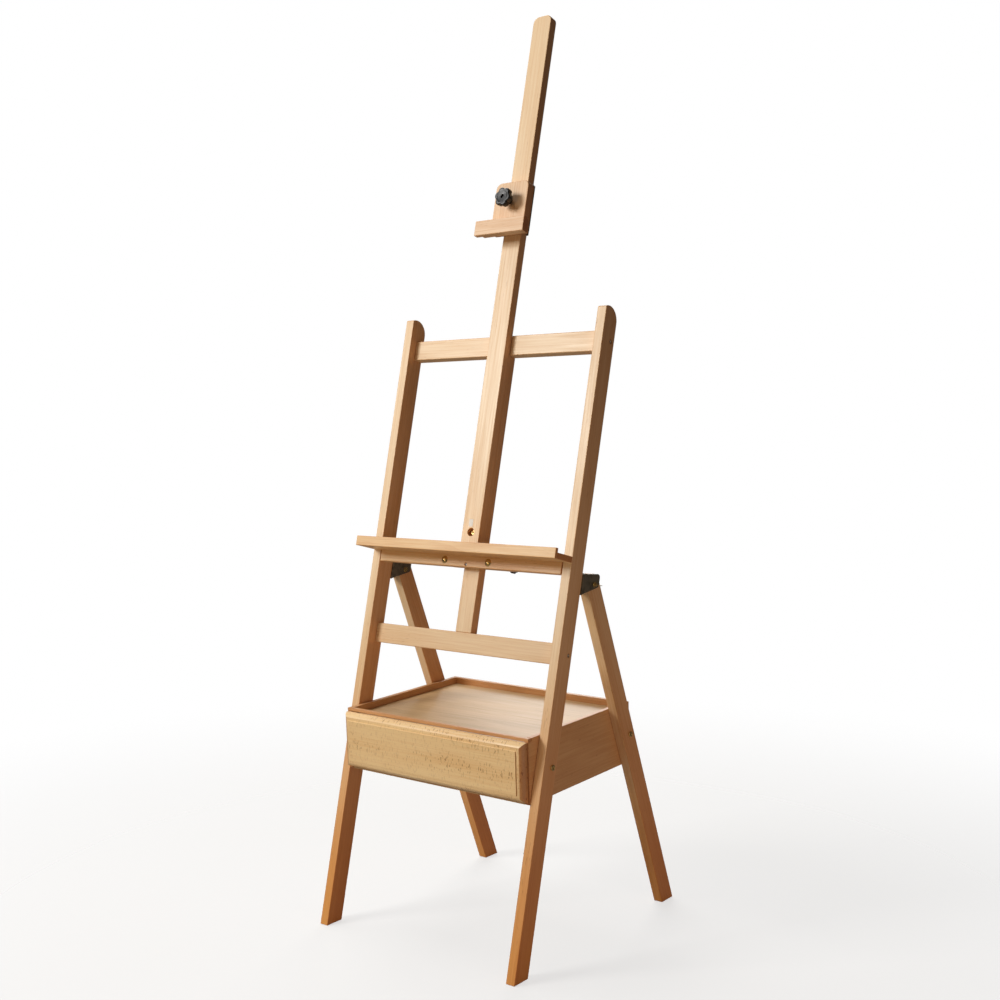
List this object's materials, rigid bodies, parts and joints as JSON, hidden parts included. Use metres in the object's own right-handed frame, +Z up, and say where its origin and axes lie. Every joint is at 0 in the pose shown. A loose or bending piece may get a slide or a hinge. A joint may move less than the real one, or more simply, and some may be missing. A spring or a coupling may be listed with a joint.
{
  "type": "studio easel with drawer",
  "caption": "Wooden studio easel with leaning posts, a sliding mast, a canvas tray, an upper canvas clamp, folding rear legs and a drawer case between the legs.",
  "frame": {"origin": "centre of the footprint, on the floor", "axes": "+Z up, +X to the right as seen from the front, +Y to the back; the canvas side and the drawer front face -Y"},
  "size_m": [0.5668, 0.624, 2.0086],
  "materials": {
    "beech": "satin clear varnish",
    "plywood": "unfinished",
    "brass": "polished",
    "zinc_steel": "zinc plated",
    "bronze_steel": "dark bronze coat",
    "black_plastic": "moulded, semi-matt",
    "white_paper": "matt"
  },
  "bodies": {
    "frame": {"left_post": "beech", "right_post": "beech", "top_rail": "beech", "lower_rail": "beech", "centre_stile": "beech", "rail_screws": "zinc_steel", "left_bracket": "bronze_steel", "right_bracket": "bronze_steel", "left_hinge_pin": "brass", "right_hinge_pin": "brass", "bracket_screws": "zinc_steel", "case_left_side": "beech", "case_right_side": "beech", "case_back": "beech", "case_top_panel": "beech", "case_front_strip": "beech", "case_bottom_panel": "plywood", "drawer_runners": "beech", "case_bolts": "brass"},
    "mast_and_tray": {"mast": "beech", "mast_label": "white_paper", "mast_guide_bolt": "brass", "tray_rail": "beech", "tray_rail_screw": "zinc_steel", "tray_shelf": "beech", "tray_lip": "beech", "tray_bolts": "brass", "tray_keeper_bar": "beech"},
    "left_tray_lock": {"left_tray_knob": "black_plastic"},
    "right_tray_lock": {"right_tray_knob": "black_plastic"},
    "canvas_clamp": {"clamp_plate": "beech", "clamp_lip_bar": "beech", "clamp_strap": "bronze_steel", "strap_screws": "zinc_steel"},
    "clamp_lock": {"clamp_knob": "black_plastic", "clamp_screw": "zinc_steel"},
    "drawer": {"drawer_front": "beech", "drawer_left_side": "beech", "drawer_right_side": "beech", "drawer_back": "beech", "drawer_bottom": "plywood"},
    "left_rear_leg": {"left_leg": "beech", "left_leg_bolt": "brass"},
    "right_rear_leg": {"right_leg": "beech", "right_leg_bolt": "brass"}
  },
  "joints": [
    {"name": "mast_slide", "type": "slide", "parent": "frame", "child": "mast_and_tray", "axis": [0, 0.2334, 0.9724], "range_m": [0, 0.365]},
    {"name": "clamp_slide", "type": "slide", "parent": "mast_and_tray", "child": "canvas_clamp", "axis": [0, 0.2334, 0.9724], "range_m": [-0.215, 0.36]},
    {"name": "clamp_knob_turn", "type": "hinge", "parent": "canvas_clamp", "child": "clamp_lock", "pos_m": [0, 0.02133, 1.60247], "axis": [0, 0.9724, -0.2334], "continuous": true},
    {"name": "left_tray_knob_turn", "type": "hinge", "parent": "mast_and_tray", "child": "left_tray_lock", "pos_m": [-0.0605, -0.0272, 0.80064], "axis": [0, 0.9724, -0.2334], "continuous": true},
    {"name": "right_tray_knob_turn", "type": "hinge", "parent": "mast_and_tray", "child": "right_tray_lock", "pos_m": [0.0605, -0.0272, 0.80064], "axis": [0, 0.9724, -0.2334], "continuous": true},
    {"name": "drawer_slide", "type": "slide", "parent": "frame", "child": "drawer", "axis": [0, -0.9995, -0.0332], "range_m": [0, 0.25]},
    {"name": "left_leg_fold", "type": "hinge", "parent": "frame", "child": "left_rear_leg", "pos_m": [-0.264, -0.03284, 0.78143], "axis": [-1, 0, 0], "range_deg": [0, 35.8]},
    {"name": "right_leg_fold", "type": "hinge", "parent": "frame", "child": "right_rear_leg", "pos_m": [0.264, -0.03284, 0.78143], "axis": [-1, 0, 0], "range_deg": [0, 35.8]}
  ]
}
